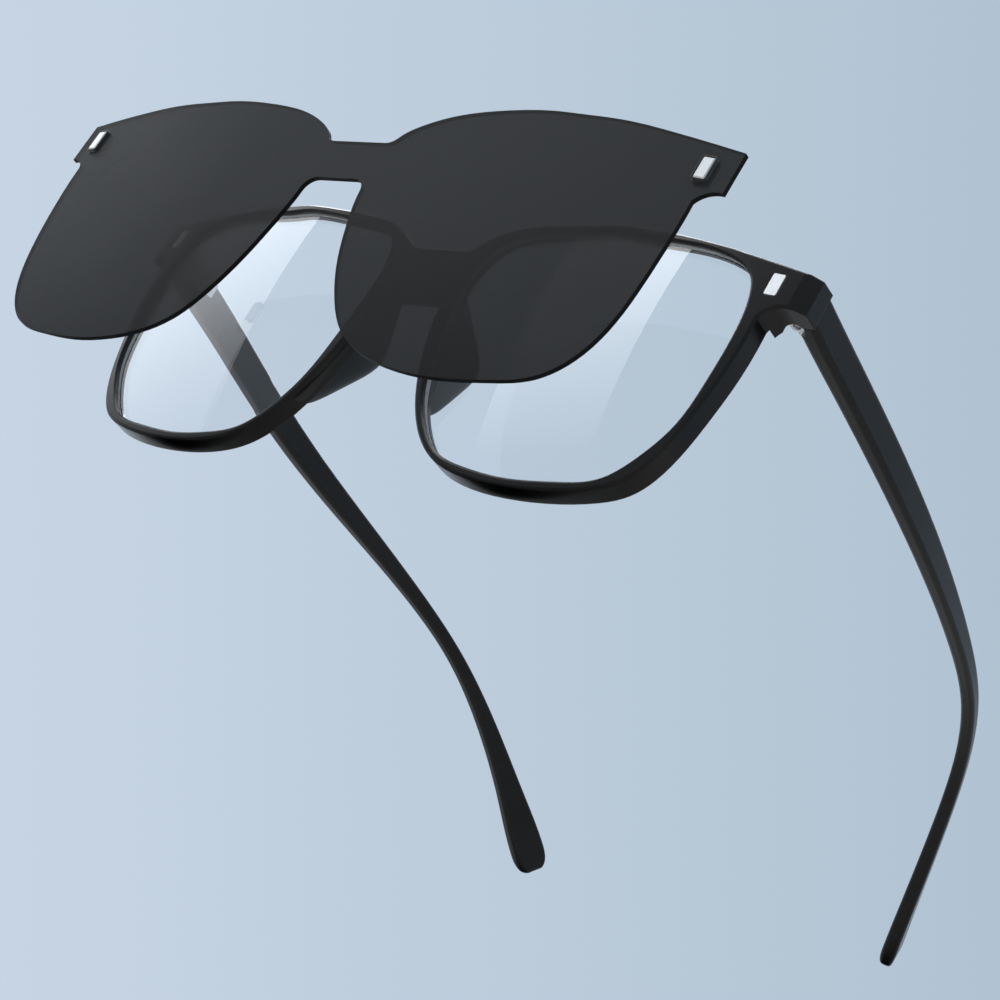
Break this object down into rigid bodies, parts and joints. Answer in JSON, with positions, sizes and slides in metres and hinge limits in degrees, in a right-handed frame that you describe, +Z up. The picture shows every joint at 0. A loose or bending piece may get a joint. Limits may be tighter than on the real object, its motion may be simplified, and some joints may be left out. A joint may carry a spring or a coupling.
{
  "type": "eyeglasses with magnetic clip-on sun shield",
  "caption": "Full-rim eyeglasses with folding temples and moulded nose pads; a dark one-piece sun shield pulls straight off its magnets at the end pieces.",
  "frame": {"origin": "middle between the two lens boxes, on the front surface, where the wearer's nose comes", "axes": "+Z up with the rims and temple tips on a table, -Y the way the wearer looks, +X the wearer's left"},
  "size_m": [0.1362, 0.1678, 0.0478],
  "materials": {
    "frame": "satin black, injection moulded",
    "temple": "satin black, injection moulded",
    "lens": "clear, with an antireflection coating",
    "shield": "dark grey polarised sheet, polished",
    "plate": "satin plated",
    "magnet": "nickel plated",
    "hinge": "satin",
    "screw": "bright",
    "holder": "black"
  },
  "bodies": {
    "front": {"front_frame": "frame", "lens_left": "lens", "lens_right": "lens", "frame_magnet_left": "magnet", "frame_magnet_right": "magnet", "frame_plate_left": "plate", "frame_plate_right": "plate", "hinge_front_left": "hinge", "hinge_front_right": "hinge", "hinge_screw_left": "screw", "hinge_screw_right": "screw"},
    "left_arm": {"temple_left": "temple", "hinge_temple_left": "hinge"},
    "right_arm": {"temple_right": "temple", "hinge_temple_right": "hinge"},
    "clip": {"clip_shield": "shield", "clip_magnet_left": "plate", "clip_magnet_right": "plate", "clip_holder_left": "holder", "clip_holder_right": "holder"}
  },
  "joints": [
    {"name": "left_fold", "type": "hinge", "parent": "front", "child": "left_arm", "pos_m": [0.0637, 0.0094, 0.01693], "axis": [0, 0, 1], "range_deg": [0, 80]},
    {"name": "right_fold", "type": "hinge", "parent": "front", "child": "right_arm", "pos_m": [-0.0637, 0.0094, 0.01693], "axis": [0, 0, -1], "range_deg": [0, 70]},
    {"name": "clip_slide", "type": "slide", "parent": "front", "child": "clip", "axis": [0, -0.9998, -0.0206], "range_m": [-0.0233, 0]}
  ]
}
